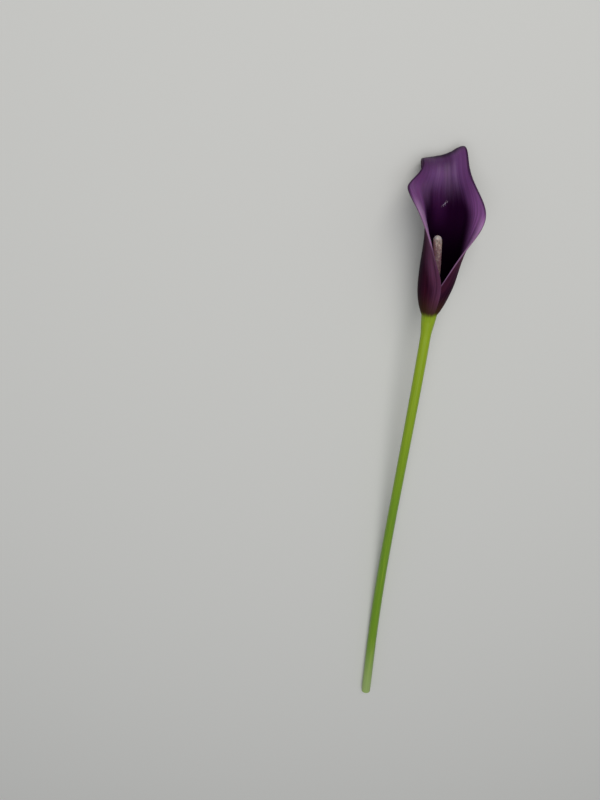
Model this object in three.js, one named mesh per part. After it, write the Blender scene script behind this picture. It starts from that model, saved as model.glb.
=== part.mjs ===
// A calla lily flower, picked and laid on its back: a stem, a spathe rolled into a trumpet whose
// tip curls back under it, and the spadix that stands inside. Millimetres and degrees.
// +Y runs from the stem's cut end to the flower, +Z is up out of the trumpet's mouth, and the
// surface that the flower lies on is z = 0. The spathe's foot is at y = 0 until the last line
// moves the flower so that the middle of its box is over the origin.

import * as THREE from 'three';

// ---- the stem ----

const STEM_LENGTH = 316; // shoulder to cut end, along Y
const STEM_TOP = { x: -0.5, z: 26.4 }; // where the spathe's foot holds its axis
const STEM_DRIFT = -16; // how far the cut end lies to the left of the top
const STEM_BOW = -1.6; // its sideways bow half way down
const CUT_END_HEIGHT = 3.2; // axis height of the stretch that lies on the surface
const LYING_LENGTH = 44; // how much of the stem lies on the surface
const SHOULDER_RADIUS = 3.9; // under the spathe
const NECK_RADIUS = 2.85; // the slim part, from just below the shoulder
const NECK_SHARE = 0.038; // share of the length over which the shoulder narrows to it
const CUT_RADIUS = 3.4; // at the cut end
const THICKENING_SHARE = 0.3; // where it starts to thicken towards the cut end
const CUT_SLANT = 0.3; // the knife's slope, along Y for each mm of height
const SHOULDER_Y = -0.5; // the shoulder's face, 0.3 mm clear of the spathe's foot
const SPIGOT_RADIUS = 1.85; // the stem goes on into the spathe's foot and carries the spadix
const SPIGOT_END_Y = 2.2;
const STEM_SIDES = 16;
const STEM_RINGS = 30;
const STEM_RING_CROWDING = 1.4; // above 1, the rings stand closer near the shoulder

// ---- the spadix ----

const SPADIX_FOOT = { x: 0.2, y: 2.5, z: 26.2 };
const SPADIX_TIP = { x: 0.15, y: 40.8, z: 25.6 };
const SPADIX_BOW = 0.8; // its sideways bow half way up
const SPADIX_RADIUS = 2.1; // without its florets
const SPADIX_FOOT_RADIUS = 1.45;
const SPADIX_SWELL = 5; // length over which the foot widens
const SPADIX_DOME = 2.4; // length of the rounded tip
const OVARY_ZONE = 9; // the lowest stretch carries the larger, rounder ovaries
const OVARY_RELIEF = 0.4;
const ANTHER_RELIEF = 0.22;
const FLORETS_ROUND = 10; // in each ring
const FLORET_PITCH = 1.3; // ring to ring
const DOME_STEPS = 4;

// ---- the spathe ----

const BLADE_THICKNESS = 1.1;
const FOOT_THICKNESS = 0.75;
const MARGIN_THICKNESS = 0.75;
const MARGIN_SHARE = 0.55; // share of a half's width where it starts to thin to its margin
const TIP_THICKNESS = 0.8;
const ROLL_SHARPNESS = 6; // the margin's roll is kept to the outermost part of each half
const STEPS_PER_SECTION = 3;
const STEPS_ACROSS = 16; // in each half
const WALK_STEPS = 8; // short steps that each of those is worked out in

// Its sections, from the foot to the thread at the tip. Each is a strip laid across the midrib.
//   x, y, z  the midrib's place
//   lean     how far the strip's upper face has turned towards the tip: 180 is upside down
//   skew     the strip's turn in plan
// and for the half on the left, which laps over the other, and then for the half on the right:
//   width    from midrib to margin, round the curve
//   wrap     how far the half turns inwards on its way to the margin
//   roll     how far its margin turns back outwards
const SECTIONS = [
  // x,   y,    z,     lean, skew, left: width, wrap, roll, right: width, wrap, roll
  [-0.1,  0.1, 22.6,    0,    0,   13.3, 188,    0,   12.4, 206,    0],
  [0.2,   3.0, 20.9,    0,   -4,   18.9, 189,    5,   17.6, 205,    0],
  [0.7,   8.5, 18.5,    0,   -8,   25.8, 190,    8,   23.8, 199,   -5],
  [1.6,  17.0, 16.6,    0,   -8,   29.7, 190,   18,   27.8, 175,   -8],
  [3.1,  27.0, 15.6,    2,   -9,   29.2, 168,   66,   25.6, 155,    8],
  [4.9,  37.0, 15.0,    4,  -11,   28.6, 152,   98,   23.9, 138,   42],
  [5.9,  46.0, 14.6,    7,  -13,   28.8, 124,  106,   23.4, 116,   80],
  [5.7,  53.0, 14.3,    9,  -12,   28.6,  97,  104,   22.8,  98,  100],
  [5.2,  59.5, 14.0,   13,   -8,   26.0,  77,  110,   18.0,  84,   85],
  [4.8,  65.5, 13.5,   19,   -2,   18.0,  63,   90,   12.6,  70,   60],
  [4.5,  71.0, 12.4,   32,    5,   13.3,  50,   60,   10.8,  57,   60],
  [4.0,  75.6, 10.0,   60,   10,   12.0,  34,   48,   11.6,  60,  100],
  [3.3,  77.8,  6.0,  110,   13,   11.0,  11,   20,   11.5,  44,   90],
  [2.4,  75.8,  1.5,  152,   12,    9.3,   3,    0,    9.7,   3,    0],
  [1.8,  69.8,  0.3,  178,    8,    7.6,   1,    0,    7.8,   1,    0],
  [1.4,  63.4,  0.4,  180,    4,    5.8,   1,    0,    5.8,   1,    0],
  [1.1,  57.0,  0.6,  184,    0,    3.8,   0,    0,    3.8,   0,    0],
  [0.8,  50.8,  2.0,  191,    0,    1.9,   0,    0,    1.9,   0,    0],
  [0.6,  45.5,  4.0,  200,    0,    0.9,   0,    0,    0.9,   0,    0],
];
const FIRST_BLADE_SECTION = 2.5; // where the foot has reached the blade's thickness
const FIRST_TIP_SECTION = 10; // where the blade starts to thin towards the tip
const LAST_SECTION = SECTIONS.length - 1;

// ---- colours ----

const spatheSkin = new THREE.MeshStandardMaterial({ color: 0x4a2552, roughness: 0.45, metalness: 0 });
const spadixSkin = new THREE.MeshStandardMaterial({ color: 0xb6a892, roughness: 0.8, metalness: 0 });
const stemSkin = new THREE.MeshStandardMaterial({ color: 0x78992b, roughness: 0.5, metalness: 0 });

// ---- helpers ----

const radians = THREE.MathUtils.degToRad;
const mix = THREE.MathUtils.lerp;
const ease = (value, start, end) => THREE.MathUtils.smoothstep(value, start, end);

// Joins a list of triangles, each three vertex numbers, into one named mesh.
function solid(name, points, triangles, skin) {
  const geometry = new THREE.BufferGeometry();
  geometry.setAttribute('position', new THREE.Float32BufferAttribute(points.flat(), 3));
  geometry.setIndex(triangles.flat());
  geometry.computeVertexNormals();
  const mesh = new THREE.Mesh(geometry, skin);
  mesh.name = name;
  return mesh;
}

// Two triangles for the four-sided patch a, b, c, d, seen anticlockwise.
const patch = (a, b, c, d) => [[a, b, c], [a, c, d]];

// Skins a row of rings, each a closed loop of the same number of points, and closes both ends
// on a middle point.
function ringSolid(name, rings, skin) {
  const sides = rings[0].length;
  const points = rings.flat();
  const triangles = [];
  for (let level = 0; level < rings.length - 1; level += 1) {
    for (let side = 0; side < sides; side += 1) {
      const next = (side + 1) % sides;
      const near = level * sides;
      const far = near + sides;
      triangles.push(...patch(near + side, near + next, far + next, far + side));
    }
  }
  const mean = (loop, axis) => loop.reduce((sum, point) => sum + point[axis], 0) / sides;
  const middle = (loop) => [0, 1, 2].map((axis) => mean(loop, axis));
  const last = (rings.length - 1) * sides;
  const firstMiddle = points.push(middle(rings[0])) - 1;
  const lastMiddle = points.push(middle(rings.at(-1))) - 1;
  for (let side = 0; side < sides; side += 1) {
    const next = (side + 1) % sides;
    triangles.push([firstMiddle, next, side], [lastMiddle, last + side, last + next]);
  }
  return solid(name, points, triangles, skin);
}

// A ring of points round an axis point, in the plane across +Y.
function ring(centre, radius, sides) {
  return Array.from({ length: sides }, (_, side) => {
    const angle = (side / sides) * 2 * Math.PI;
    const reach = typeof radius === 'function' ? radius(side) : radius;
    return [centre.x - reach * Math.cos(angle), centre.y, centre.z + reach * Math.sin(angle)];
  });
}

// ---- the stem: a tube of rings from the cut end up to the spigot inside the spathe ----

// Its axis and radius at a share of the way from the shoulder down to the cut end.
function stemSection(share) {
  const distance = share * STEM_LENGTH;
  const drop = ease(distance, 0, STEM_LENGTH - LYING_LENGTH);
  const centre = {
    x: STEM_TOP.x + STEM_DRIFT * share + STEM_BOW * Math.sin(Math.PI * share),
    y: SHOULDER_Y - distance,
    z: mix(STEM_TOP.z, CUT_END_HEIGHT, drop),
  };
  const slim = mix(SHOULDER_RADIUS, NECK_RADIUS, ease(share, 0, NECK_SHARE));
  return { centre, radius: mix(slim, CUT_RADIUS, ease(share, THICKENING_SHARE, 1)) };
}

function stem() {
  const rings = [];
  for (let step = STEM_RINGS; step >= 0; step -= 1) {
    const { centre, radius } = stemSection((step / STEM_RINGS) ** STEM_RING_CROWDING);
    const loop = ring(centre, radius, STEM_SIDES);
    // the underside is flat where the stem lies on the surface
    loop.forEach((point) => { point[2] = Math.max(point[2], 0); });
    rings.push(loop);
  }
  const cut = rings[0];
  cut.forEach((point) => { point[1] += CUT_SLANT * (point[2] - CUT_END_HEIGHT); });
  const spigot = { x: STEM_TOP.x, y: SHOULDER_Y, z: STEM_TOP.z };
  rings.push(ring(spigot, SPIGOT_RADIUS, STEM_SIDES));
  rings.push(ring({ ...spigot, y: SPIGOT_END_Y }, SPIGOT_RADIUS, STEM_SIDES));
  return ringSolid('stem', rings, stemSkin);
}

// ---- the spadix: a blunt finger covered in rings of florets, each ring half a floret on ----

function spadix() {
  const sides = 2 * FLORETS_ROUND;
  const length = SPADIX_TIP.y - SPADIX_FOOT.y;
  const straight = length - SPADIX_DOME;
  const levels = 2 * Math.round(straight / FLORET_PITCH);
  const rings = [];
  for (let level = 0; level < levels + DOME_STEPS; level += 1) {
    const overDome = Math.max(level - levels, 0) / DOME_STEPS;
    const along = level <= levels
      ? straight * (level / levels)
      : straight + SPADIX_DOME * Math.sin(overDome * Math.PI / 2);
    const body = mix(SPADIX_FOOT_RADIUS, SPADIX_RADIUS, ease(along, 0, SPADIX_SWELL));
    const round = Math.cos(overDome * Math.PI / 2);
    const relief = mix(OVARY_RELIEF, ANTHER_RELIEF, ease(along, OVARY_ZONE - 1, OVARY_ZONE + 1));
    // a floret stands on every second point of every second ring
    const isFloret = (side) => level % 2 === 1 && (side + (level - 1) / 2) % 2 === 0;
    const share = along / length;
    const centre = {
      x: mix(SPADIX_FOOT.x, SPADIX_TIP.x, share) + SPADIX_BOW * Math.sin(Math.PI * share),
      y: SPADIX_FOOT.y + along,
      z: mix(SPADIX_FOOT.z, SPADIX_TIP.z, share),
    };
    const reach = (side) => round * (isFloret(side) ? body + relief : body);
    rings.push(ring(centre, reach, sides));
  }
  return ringSolid('spadix', rings, spadixSkin);
}

// ---- the spathe ----

// The section at a place between two of the listed ones, by a uniform cubic B-spline that
// passes through the first and the last.
function sectionAt(place) {
  const left = Math.min(Math.floor(place), LAST_SECTION - 1);
  const t = place - left;
  const weights = [
    (1 - t) ** 3 / 6,
    (3 * t ** 3 - 6 * t ** 2 + 4) / 6,
    (-3 * t ** 3 + 3 * t ** 2 + 3 * t + 1) / 6,
    t ** 3 / 6,
  ];
  const beyond = (edge, inner) => SECTIONS[edge].map((value, k) => 2 * value - SECTIONS[inner][k]);
  const listed = (index) => {
    if (index < 0) return beyond(0, 1);
    if (index > LAST_SECTION) return beyond(LAST_SECTION, LAST_SECTION - 1);
    return SECTIONS[index];
  };
  const rows = weights.map((_, k) => listed(left - 1 + k));
  return SECTIONS[0].map((_, k) => weights.reduce((sum, weight, n) => sum + weight * rows[n][k], 0));
}

// Walks round one half of a section from the midrib and gives, for each step, how far out to
// the side and how far up it has come. The walk's heading turns by wrap, less the roll.
function halfCurve(width, wrap, roll) {
  const count = STEPS_ACROSS * WALK_STEPS;
  const heading = (t) => radians(wrap) * t - radians(roll) * t ** ROLL_SHARPNESS;
  const curve = [{ out: 0, up: 0 }];
  let out = 0;
  let up = 0;
  for (let step = 1; step <= count; step += 1) {
    const middle = heading((step - 0.5) / count);
    out += (Math.cos(middle) * width) / count;
    up += (Math.sin(middle) * width) / count;
    if (step % WALK_STEPS === 0) curve.push({ out, up });
  }
  return curve;
}

// The middle surface: one row of points for each step along, left margin to right margin.
function middleSurface() {
  const rows = [];
  for (let step = 0; step <= LAST_SECTION * STEPS_PER_SECTION; step += 1) {
    const section = sectionAt(step / STEPS_PER_SECTION);
    const [x, y, z, lean, skew, widthL, wrapL, rollL, widthR, wrapR, rollR] = section;
    const across = new THREE.Vector3(Math.cos(radians(skew)), Math.sin(radians(skew)), 0);
    const forward = new THREE.Vector3(-across.y, across.x, 0);
    const upward = new THREE.Vector3(0, 0, Math.cos(radians(lean)))
      .addScaledVector(forward, Math.sin(radians(lean)));
    const place = (side, { out, up }) => new THREE.Vector3(x, y, z)
      .addScaledVector(across, side * out)
      .addScaledVector(upward, up);
    const leftHalf = halfCurve(widthL, wrapL, rollL).map((spot) => place(-1, spot));
    const rightHalf = halfCurve(widthR, wrapR, rollR).map((spot) => place(1, spot));
    rows.push([...leftHalf.reverse(), ...rightHalf.slice(1)]);
  }
  return rows;
}

function thicknessAt(place, acrossShare) {
  const blade = mix(FOOT_THICKNESS, BLADE_THICKNESS, ease(place, 0, FIRST_BLADE_SECTION));
  const toTip = THREE.MathUtils.clamp(
    (place - FIRST_TIP_SECTION) / (LAST_SECTION - FIRST_TIP_SECTION), 0, 1);
  const middle = mix(blade, TIP_THICKNESS, toTip);
  const margin = Math.min(MARGIN_THICKNESS, middle);
  return mix(middle, margin, ease(Math.abs(acrossShare), MARGIN_SHARE, 1));
}

// Gives the middle surface its thickness: an inner face, an outer face, and a rim between them.
// Both faces are split along the same diagonals, so that they never cross where the blade waves.
function spathe() {
  const rows = middleSurface();
  const along = rows.length;
  const across = rows[0].length;
  const inner = [];
  const outer = [];
  rows.forEach((row, i) => row.forEach((point, j) => {
    const ahead = rows[Math.min(i + 1, along - 1)][j];
    const behind = rows[Math.max(i - 1, 0)][j];
    const right = row[Math.min(j + 1, across - 1)];
    const left = row[Math.max(j - 1, 0)];
    const face = right.clone().sub(left).cross(ahead.clone().sub(behind)).normalize();
    const acrossShare = j / STEPS_ACROSS - 1;
    const half = thicknessAt(i / STEPS_PER_SECTION, acrossShare) / 2;
    const over = point.clone().addScaledVector(face, half);
    const under = point.clone().addScaledVector(face, -half);
    // the curled tip is pressed flat where it lies on the surface
    over.z = Math.max(over.z, 0);
    inner.push(over.toArray());
    outer.push(under.toArray());
  }));
  const layer = inner.length;
  const triangles = [];
  const at = (i, j) => i * across + j;
  for (let i = 0; i < along - 1; i += 1) {
    for (let j = 0; j < across - 1; j += 1) {
      const corners = [at(i, j), at(i, j + 1), at(i + 1, j + 1), at(i + 1, j)];
      triangles.push(...patch(...corners));
      const [a, b, c, d] = corners.map((corner) => corner + layer);
      triangles.push([a, c, b], [a, d, c]);
    }
  }
  const edge = [];
  for (let j = 0; j < across - 1; j += 1) edge.push(at(0, j));
  for (let i = 0; i < along - 1; i += 1) edge.push(at(i, across - 1));
  for (let j = across - 1; j > 0; j -= 1) edge.push(at(along - 1, j));
  for (let i = along - 1; i > 0; i -= 1) edge.push(at(i, 0));
  edge.forEach((a, k) => {
    const b = edge[(k + 1) % edge.length];
    triangles.push(...patch(a, a + layer, b + layer, b));
  });
  return solid('spathe', [...inner, ...outer], triangles, spatheSkin);
}

// ---- the flower ----

const flower = new THREE.Group();
flower.add(stem(), spathe(), spadix());
const box = new THREE.Box3().setFromObject(flower);
flower.position.set(-(box.min.x + box.max.x) / 2, -(box.min.y + box.max.y) / 2, 0);

export default flower;
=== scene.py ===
"""A calla lily flower, picked and laid on its back, seen from above. The flower's sizes are in
millimetres, in its own frame with the spathe's foot at y = 0, until a piece is made: then they
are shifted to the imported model's frame and turned into metres. The floor's and the lamps' are
in metres."""

import math
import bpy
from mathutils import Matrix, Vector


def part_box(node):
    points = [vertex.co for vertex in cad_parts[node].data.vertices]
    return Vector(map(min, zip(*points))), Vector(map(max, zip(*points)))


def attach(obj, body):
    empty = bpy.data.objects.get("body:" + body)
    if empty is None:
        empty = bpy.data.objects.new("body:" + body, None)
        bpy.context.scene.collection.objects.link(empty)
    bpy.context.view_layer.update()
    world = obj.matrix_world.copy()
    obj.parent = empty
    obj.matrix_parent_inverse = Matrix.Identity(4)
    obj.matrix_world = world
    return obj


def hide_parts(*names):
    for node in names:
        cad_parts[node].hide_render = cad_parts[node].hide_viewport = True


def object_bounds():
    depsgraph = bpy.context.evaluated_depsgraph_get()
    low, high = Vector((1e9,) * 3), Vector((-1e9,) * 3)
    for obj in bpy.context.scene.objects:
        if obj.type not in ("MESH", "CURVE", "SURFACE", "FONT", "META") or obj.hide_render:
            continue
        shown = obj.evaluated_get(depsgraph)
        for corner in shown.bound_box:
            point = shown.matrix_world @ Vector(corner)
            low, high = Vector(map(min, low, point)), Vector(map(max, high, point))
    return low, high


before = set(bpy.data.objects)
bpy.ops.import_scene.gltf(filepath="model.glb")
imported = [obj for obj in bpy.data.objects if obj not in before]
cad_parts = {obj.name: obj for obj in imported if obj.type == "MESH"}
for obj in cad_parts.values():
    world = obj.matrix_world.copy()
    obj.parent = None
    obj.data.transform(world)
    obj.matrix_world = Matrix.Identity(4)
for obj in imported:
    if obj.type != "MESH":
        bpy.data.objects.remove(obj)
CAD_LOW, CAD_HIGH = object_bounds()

from types import SimpleNamespace

import bpy
import numpy as np
from mathutils import Vector

MM = 0.001

# ---- the stem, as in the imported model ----

STEM_LENGTH = 316  # shoulder to cut end, along Y
STEM_TOP = (-0.5, 26.4)  # x and z of its axis under the spathe
STEM_DRIFT = -16  # how far the cut end lies to the left of the top
STEM_BOW = -1.6  # its sideways bow half way down
CUT_END_HEIGHT = 3.2  # of its axis over the surface, a little less than its radius there
LYING_LENGTH = 44  # the stretch above the cut end that lies on the surface
SHOULDER_RADIUS = 3.9
NECK_RADIUS = 2.85
NECK_SHARE = 0.038  # of its length, from the shoulder to the neck
CUT_RADIUS = 3.4
THICKENING_SHARE = 0.3  # of its length, from the shoulder to where it thickens again
CUT_SLANT = 0.3  # how far the cut leans along the stem for each millimetre up
SHOULDER_Y = -0.5
SPIGOT_RADIUS = 1.85  # of the core that goes on into the spathe's foot
SPIGOT_END_Y = 2.2

# and its finer forms
STEM_SIDES = 72
STEM_RING_PITCH = 1.0
SHOULDER_STRETCH = 14  # below the shoulder the rings are closer and the skin evens out
SHOULDER_RING_PITCH = 0.25
EVEN_STRETCH = 5  # the uppermost part of it has no ribs at all
STEM_RIBS = 18  # shallow lengthwise ribs
STEM_RIB_DEPTH = 0.035
STEM_WAVE_DEPTH = 0.05  # long, slight unevenness of its skin
STEM_TUCK_Y = -3.7  # from here up it narrows, inside the spathe's foot
STEM_TUCK_CLEARANCE = 0.3  # how much thicker than the spigot it still is at its top
SPIGOT_START_Y = 0.3
CUT_BEVEL = 0.18  # the skin's rounded edge at the cut
BEVEL_RING_SHARE = 0.3  # how far the ring inside that edge is from the skin, as a share of it
CUT_SHEAR_LENGTH = 4  # over which the cut's slant fades out along the stem
CUT_DISH = 0.35  # how far the pith has sunk
CUT_DISH_SHARES = (0.95, 0.35)  # of the cut face's radius, where the dish starts and is deepest
CUT_FACE_RINGS = 12
CUT_MIDDLE_SHARE = 0.03  # the smallest of them, as a share of the radius

# ---- the spadix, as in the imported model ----

SPADIX_FOOT = (0.2, 2.5, 26.2)
SPADIX_TIP = (0.15, 40.8, 25.6)
SPADIX_BOW = 0.8  # its sideways bow half way up
SPADIX_RADIUS = 2.1
SPADIX_FOOT_RADIUS = 1.45
SPADIX_SWELL = 5  # the stretch over which it widens from its foot
SPADIX_DOME = 2.4  # length of its rounded end
OVARY_ZONE = 9  # the stretch from its foot that bears ovaries
OVARY_RELIEF = 0.4
ANTHER_RELIEF = 0.22

# and its finer forms
FLORETS_ROUND = 20
FLORET_PITCH = 0.62
STEPS_PER_FLORET = 8  # round the spadix
STEPS_PER_PITCH = 7  # along it
DOME_STEPS = 28  # over the dome
DOME_TURN = 86  # degrees from the dome's foot to its last loop
DOME_RELIEF_SHARE = 0.6  # how much of the relief also lifts the dome's florets along the spadix
OVARIES_ROUND = 11
OVARY_PITCH = 1.15
OVARY_ZONE_BLUR = 0.6  # half the stretch over which ovaries give way to anthers
STUD_RADIUS = 0.62  # of a floret, in pitches
STUD_FLATTENING = 1.1  # above 1, it is narrower round the spadix than along it
STUD_SINK = 0.25  # share of the relief by which the studs' feet lie under the body's skin
LOWEST_ANTHER = 0.72  # its height as a share of the tallest's
GROOVE_DEPTH = 0.22  # of the groove across an anther, as a share of the tallest's height
GROOVE_WIDTH = 0.12
GROOVE_REACH = 0.45  # from the anther's middle, in pitches
KNOB_REACH = 0.2  # of the knob on an ovary, from its middle, in pitches
KNOB_SHARE = 0.2  # of the ovary's height

# ---- the spathe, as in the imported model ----

BLADE_THICKNESS = 1.1
FOOT_THICKNESS = 0.75
MARGIN_THICKNESS = 0.75
MARGIN_SHARE = 0.55  # of the way to the margin, from which the blade thins
TIP_THICKNESS = 0.8
ROLL_SHARPNESS = 6  # the higher it is, the closer to the margin the blade rolls
FIRST_BLADE_SECTION = 2.5  # from here on the blade has its full thickness
FIRST_TIP_SECTION = 10  # from here on it thins towards the tip

# Its sections, from the foot to the thread at the tip. Each is a strip laid across the midrib.
#   x, y, z  the midrib's place
#   lean     how far the strip's upper face has turned towards the tip: 180 is upside down
#   skew     the strip's turn in plan
# and for the half on the left, which laps over the other, and then for the half on the right:
#   width    from midrib to margin, round the curve
#   wrap     how far the half turns inwards on its way to the margin
#   roll     how far its margin turns back outwards
SECTIONS = np.array([
    # x,   y,    z,     lean, skew, left: width, wrap, roll, right: width, wrap, roll
    [-0.1,  0.1, 22.6,    0,    0,   13.3, 188,    0,   12.4, 206,    0],
    [0.2,   3.0, 20.9,    0,   -4,   18.9, 189,    5,   17.6, 205,    0],
    [0.7,   8.5, 18.5,    0,   -8,   25.8, 190,    8,   23.8, 199,   -5],
    [1.6,  17.0, 16.6,    0,   -8,   29.7, 190,   18,   27.8, 175,   -8],
    [3.1,  27.0, 15.6,    2,   -9,   29.2, 168,   66,   25.6, 155,    8],
    [4.9,  37.0, 15.0,    4,  -11,   28.6, 152,   98,   23.9, 138,   42],
    [5.9,  46.0, 14.6,    7,  -13,   28.8, 124,  106,   23.4, 116,   80],
    [5.7,  53.0, 14.3,    9,  -12,   28.6,  97,  104,   22.8,  98,  100],
    [5.2,  59.5, 14.0,   13,   -8,   26.0,  77,  110,   18.0,  84,   85],
    [4.8,  65.5, 13.5,   19,   -2,   18.0,  63,   90,   12.6,  70,   60],
    [4.5,  71.0, 12.4,   32,    5,   13.3,  50,   60,   10.8,  57,   60],
    [4.0,  75.6, 10.0,   60,   10,   12.0,  34,   48,   11.6,  60,  100],
    [3.3,  77.8,  6.0,  110,   13,   11.0,  11,   20,   11.5,  44,   90],
    [2.4,  75.8,  1.5,  152,   12,    9.3,   3,    0,    9.7,   3,    0],
    [1.8,  69.8,  0.3,  178,    8,    7.6,   1,    0,    7.8,   1,    0],
    [1.4,  63.4,  0.4,  180,    4,    5.8,   1,    0,    5.8,   1,    0],
    [1.1,  57.0,  0.6,  184,    0,    3.8,   0,    0,    3.8,   0,    0],
    [0.8,  50.8,  2.0,  191,    0,    1.9,   0,    0,    1.9,   0,    0],
    [0.6,  45.5,  4.0,  200,    0,    0.9,   0,    0,    0.9,   0,    0],
])
LAST_SECTION = len(SECTIONS) - 1

# and its finer forms
ROWS_PER_SECTION = 11
STEPS_ACROSS = 88  # in each half
WALK_STEPS = 3  # short steps that each of those is worked out in
RIM_STEPS = 6  # round the rounded edge
WIDEST_HALF = 26  # a round figure for the width that patterns across the blade go by
VEINS = 26  # in each half
VEIN_SCATTER = 0.38  # how unevenly they stand, as a share of their distance
VEIN_WIDTH = 0.4
VEIN_RELIEF = 0.06
INNER_VEIN_RELIEF = 0.03
WEAKEST_VEIN = 0.25  # its relief as a share of the strongest's
FAN = 0.35  # share of the veins that have run out at the margins by the fold
MARGIN_WAVE = 0.16  # height of the margin's longer wave
PLEAT_DEPTH = 0.065  # of the limb's long shallow folds
SKIRT_LENGTH = 4.5  # below its foot the spathe clings to the stem and thins out
SKIRT_ROWS = 14
SKIRT_THICKNESS = 0.12
SKIRT_SINK = 0.085  # the middle of its end lies this deep under the stem's skin
SKIRT_LAP_SHARE = 0.25  # how much of the flaps' lapping is left where it starts to cling
TIP_ROUNDING = 0.7  # length of the thread's rounded end
TIP_BLUNTNESS = 0.03  # above 0, so that the thread's last loop doesn't close up
THREAD_LENGTH = 9  # the stretch of the tail that narrows to it
THREAD_SHARE = 0.4  # how much of its width and thickness is left there
POLLEN_PLACE = 7.42  # in sections: where the trail of pollen is thickest, near its upper end
FACES_APART = 40  # between the two faces in the space of their patterns, so that these differ

# ---- the camera ----

CAMERA_PLACE = (-69.0, 88.7, 323.6)
CAMERA_PITCH = 25  # from straight down, towards the stem
LENS_TO_FRAME = 578 / 800  # focal length as a share of the frame's long side

# ---- the colours ----

COLOURS = {
    # the spathe's inner face
    "limb": "4b2152",
    "limb's streaks": "5a2e64",
    "limb's clouds": "57235a",
    # painted sheen in the limb's middle
    "painted_sheen": "7a5088",
    # painted light along the margin, stronger on the lobes
    "painted_margin_shading": "6f3c79",
    "band on the lobes": "9f63a8",
    # painted shade where the left margin tucks in
    "painted shade where the margin tucks in": "4c2a40",
    "inner veins": "2f1233",
    # the throat: dark purple with painted shade of the deep cup, and a faint painted glow
    "throat's mouth": "1d041f",
    "throat": "080009",
    "throat's glow": "3c1640",
    # painted sheen left of the throat's mouth
    "painted sheen beside the throat": "76527e",
    # painted highlight on the strip that the left flap turns up
    "strip": "a17fa4",
    # pale painted highlight along both flaps
    "painted_flap_highlight": "bf95c2",
    "pollen": "dccadf",
    # painted shade towards the fold
    "painted_fold_shade": "3a1340",
    # painted shade on the fold and along the mouth's upper margin
    "fold": "1d0b20",
    # its outer face
    "outside": "23071b",
    "outside's clouds": "3c0f1e",
    "outside's streaks": "47203a",
    # painted shade on the left flank
    "painted shade on the left flank": "14020f",
    # painted light towards the margin of the flap that laps over
    "painted light by the flap that laps over": "724263",
    "outer veins": "1c0818",
    "keel": "4a3a22",
    "brown foot": "42300f",
    "green foot": "87a11d",
    "green foot's streaks": "93ab2a",
    # its rim, with painted highlight and painted shade, its tail, and the shader's sheen
    "painted highlight on the flaps' rim": "8a6488",
    "painted shade on the rim where it tucks in": "54324a",
    "painted shade on the mouth's rim": "45304a",
    "tail": "5b5a2c",
    "sheen": "b48ad0",
    # where the spathe's foot and the stem meet
    "shoulder": "8da61f",
    # the stem
    "stem's top": "8fa81a",
    "stem": "6d9420",
    "stem's streaks": "a4ba38",
    "stem's lines": "4d7a1b",
    "stem's end": "b3c48a",
    "pith": "bccb92",
    "pith's grain": "d3ddb2",
    "pith's strands": "869f55",
    "line under the skin": "7d9c3a",
    # the spadix
    "florets": "9a877f",
    "pale florets": "cbb8ac",
    "brown florets": "5d4740",
    "mauve florets": "8a6670",
    # lower down: browner florets, and painted shade of the purple flap
    "florets lower down, browner and in painted flap shade": "6f4656",
    "spent florets": "5a3c40",
    # painted shade and purple reflection of the flap on the left florets
    "painted flap shade on the left florets": "8a5564",
    # painted light on the spadix's top
    "dome": "d8cecc",
    "ovaries": "9da56a",
    # painted shade in the gaps where florets meet
    "painted shade in the florets' gaps": "503c39",
    # the studio
    "floor": "d6d6d3",
    "key light": "fffdf8",
    "top light": "fbfcff",
    "surroundings": "e4e6e8",
}
STEM_GLOSS = 0.28  # also the gloss of the spathe's foot where it joins


# ---- small sums ----

def ease(value, start, end):
    """0 up to start, 1 from end, and a smooth rise between."""
    share = np.clip((np.asarray(value, float) - start) / (end - start), 0, 1)
    return share * share * (3 - 2 * share)


def mix(start, end, share):
    """start at share 0, end at share 1, and straight between."""
    return start + (end - start) * share


def unit(vectors):
    return vectors / np.maximum(np.linalg.norm(vectors, axis=-1, keepdims=True), 1e-9)


def shift_to_frame():
    """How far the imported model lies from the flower's own frame: its stem reaches furthest right
    at the shoulder and furthest along Y at the spigot's end."""
    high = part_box("stem")[1] / MM
    return np.array([high.x - STEM_TOP[0] - SHOULDER_RADIUS, high.y - SPIGOT_END_Y, 0])


SHIFT = shift_to_frame()


# ---- meshes made of closed loops of points ----

def loop_faces(rows, sides):
    """Faces between neighbouring loops, and a ladder of faces across the first and the last.
    With each face's corners come their places on a flat map of the skin."""
    row, side = np.meshgrid(np.arange(rows - 1), np.arange(sides), indexing="ij")
    row, side = row.ravel(), side.ravel()
    around = (side + 1) % sides
    walls = np.stack([row * sides + side, row * sides + around,
                      (row + 1) * sides + around, (row + 1) * sides + side], axis=1)
    strip = 0.03  # of the map at either end, for the ladders
    margin = 0.04  # the walls keep clear of that strip
    across = np.stack([side, side + 1, side + 1, side], axis=1) / sides
    row_share = np.stack([row, row, row + 1, row + 1], axis=1) / (rows - 1)
    wall_map = np.stack([across, mix(margin, 1 - margin, row_share)], axis=2)

    rung = np.arange(sides // 2 - 1)
    ladder = np.stack([rung, sides - 1 - rung, sides - 2 - rung, rung + 1], axis=1)
    rung_share = np.stack([rung, rung, rung + 1, rung + 1], axis=1) / sides
    near = np.tile([0.0, strip, strip, 0.0], (len(rung), 1))
    first_map = np.stack([rung_share, near], axis=2)
    last_map = np.stack([rung_share, 1 - near], axis=2)[:, ::-1]
    faces = np.concatenate([walls, ladder, (ladder + (rows - 1) * sides)[:, ::-1]])
    return faces, np.concatenate([wall_map, first_map, last_map])


def keep_inside(points, low, high):
    """The points squeezed into a box, along each axis on which they reach out of it."""
    own_low, own_high = points.min(axis=(0, 1)), points.max(axis=(0, 1))
    new_low, new_high = np.maximum(own_low, low), np.minimum(own_high, high)
    return new_low + (points - own_low) * (new_high - new_low) / (own_high - own_low)


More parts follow.
